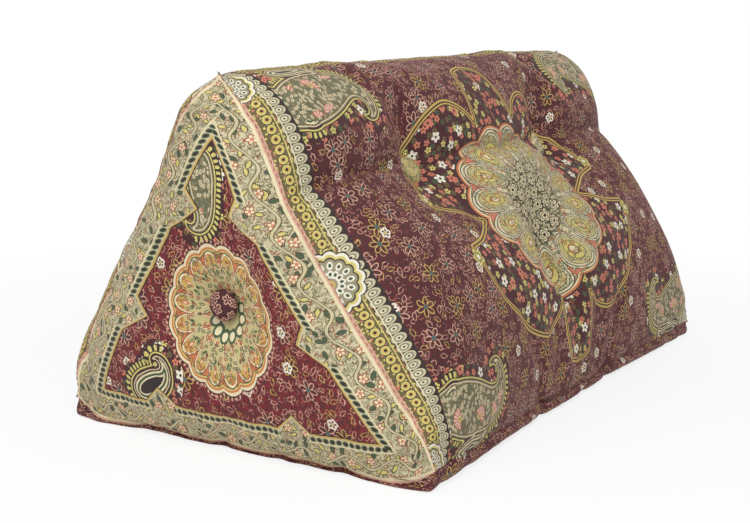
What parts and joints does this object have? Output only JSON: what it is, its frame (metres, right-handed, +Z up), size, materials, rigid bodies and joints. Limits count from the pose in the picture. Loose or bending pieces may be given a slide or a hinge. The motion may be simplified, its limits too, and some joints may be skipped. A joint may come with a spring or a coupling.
{
  "type": "floor back-rest cushion",
  "caption": "Triangular floor back-rest cushion in woven brocade, stuffed and tufted through with covered buttons, resting on its flat base.",
  "frame": {"origin": "middle of the base, on the surface that the cushion rests on", "axes": "+X along the ridge and the longest side, +Z up, the front panel faces -Y"},
  "size_m": [0.784, 0.4548, 0.37],
  "materials": {
    "brocade": "woven",
    "lining": "plain weave",
    "wadding": "loose fibre",
    "foam": "open cell foam",
    "button_cloth": "woven",
    "button_metal": "satin",
    "twine": "waxed"
  },
  "bodies": {
    "root": {"front_panel": "brocade", "back_panel": "brocade", "base_panel": "brocade", "near_end_panel": "brocade", "far_end_panel": "brocade", "lining_bag": "lining", "near_end_wadding": "wadding", "far_end_wadding": "wadding", "wadding_wrap": "wadding", "foam_core": "foam", "front_button_caps": "button_cloth", "back_button_caps": "button_cloth", "end_button_caps": "button_cloth", "front_button_backs": "button_metal", "back_button_backs": "button_metal", "end_button_backs": "button_metal", "cross_twines": "twine", "lengthwise_twine": "twine"}
  },
  "joints": []
}
